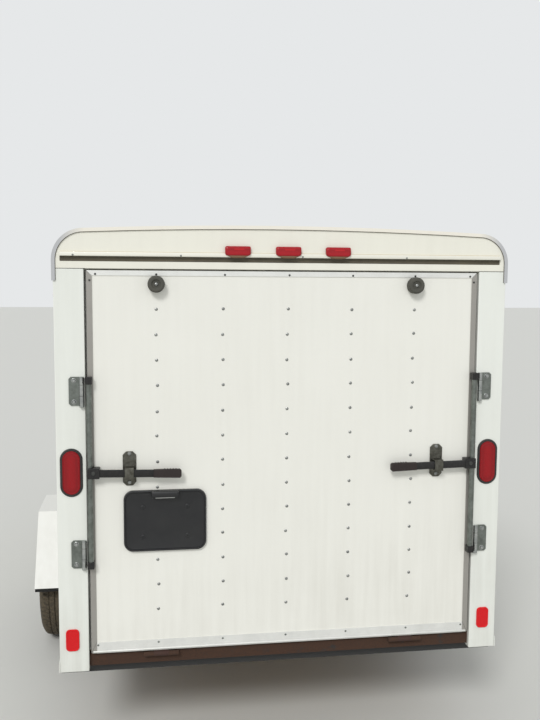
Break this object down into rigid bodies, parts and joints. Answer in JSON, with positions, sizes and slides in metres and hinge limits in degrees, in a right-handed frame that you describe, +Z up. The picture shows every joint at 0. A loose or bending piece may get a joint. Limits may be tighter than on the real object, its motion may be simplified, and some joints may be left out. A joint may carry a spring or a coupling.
{
  "type": "enclosed cargo trailer",
  "caption": "Single-axle enclosed cargo trailer with a ramp door at the rear, a side door, wheels and a tongue jack.",
  "frame": {"origin": "on the ground, in the middle of the trailer's length and width", "axes": "+Y the way it is towed, +X the kerb side, +Z up"},
  "size_m": [2.32, 4.92, 2.2298],
  "materials": {
    "white_enamel": "baked white enamel on sheet aluminium",
    "mill_aluminium": "mill-finish aluminium extrusion",
    "plywood": "bare plywood",
    "chassis_black": "black chassis paint",
    "rusty_steel": "steel with worn paint and brown rust",
    "zinc_steel": "dull zinc plate",
    "rim_white": "white wheel enamel",
    "black_rubber": "moulded black rubber",
    "black_plastic": "moulded black plastic",
    "vinyl_grip": "dipped dark red vinyl",
    "tyre": "dusty trailer tyre",
    "red_lens": "red acrylic lens",
    "amber_lens": "amber acrylic lens"
  },
  "bodies": {
    "trailer": {"amber_lamps": "amber_lens", "axle": "chassis_black", "coupler": "chassis_black", "coves": "white_enamel", "crossmembers": "chassis_black", "fenders": "white_enamel", "floor": "plywood", "front_wall": "white_enamel", "jack_tube": "zinc_steel", "lamp_grommets": "black_rubber", "leaf_springs": "chassis_black", "lock_keepers": "zinc_steel", "main_rails": "chassis_black", "nose_cap": "white_enamel", "rear_header": "white_enamel", "rear_moulding": "mill_aluminium", "rear_posts": "white_enamel", "rear_reflectors": "red_lens", "rear_sill": "rusty_steel", "red_lamps": "red_lens", "roof": "white_enamel", "side_door_frame": "mill_aluminium", "side_trims": "white_enamel", "stone_guard": "mill_aluminium", "tail_lamps": "red_lens", "tongue_rails": "chassis_black", "wall_left": "white_enamel", "wall_right": "white_enamel"},
    "ramp_door": {"ramp_frame": "mill_aluminium", "ramp_panel": "white_enamel", "ramp_board": "plywood", "door_bumpers": "black_rubber", "bar_locks": "zinc_steel", "lock_grips": "vinyl_grip", "hasps": "zinc_steel", "plate_holder": "black_plastic"},
    "side_door": {"side_door": "white_enamel", "side_door_fittings": "zinc_steel"},
    "wheel_left": {"tyre_left": "tyre", "rim_left": "rim_white", "hub_left": "zinc_steel"},
    "wheel_right": {"tyre_right": "tyre", "rim_right": "rim_white", "hub_right": "zinc_steel"},
    "jack_ram": {"jack_ram": "zinc_steel"}
  },
  "joints": [
    {"name": "wheel_left_spin", "type": "hinge", "parent": "trailer", "child": "wheel_left", "pos_m": [-1.048, -0.968, 0.343], "axis": [1, 0, 0], "continuous": true},
    {"name": "wheel_right_spin", "type": "hinge", "parent": "trailer", "child": "wheel_right", "pos_m": [1.048, -0.968, 0.343], "axis": [1, 0, 0], "continuous": true},
    {"name": "ramp_door_hinge", "type": "hinge", "parent": "trailer", "child": "ramp_door", "pos_m": [0, -2.416, 0.492], "axis": [1, 0, 0], "range_deg": [0, 106]},
    {"name": "side_door_hinge", "type": "hinge", "parent": "trailer", "child": "side_door", "pos_m": [0.9293, 0.7865, 1.243], "axis": [0, 0, 1], "range_deg": [0, 150]},
    {"name": "jack_ram_slide", "type": "slide", "parent": "trailer", "child": "jack_ram", "axis": [0, 0, 1], "range_m": [0, 0.28]}
  ]
}
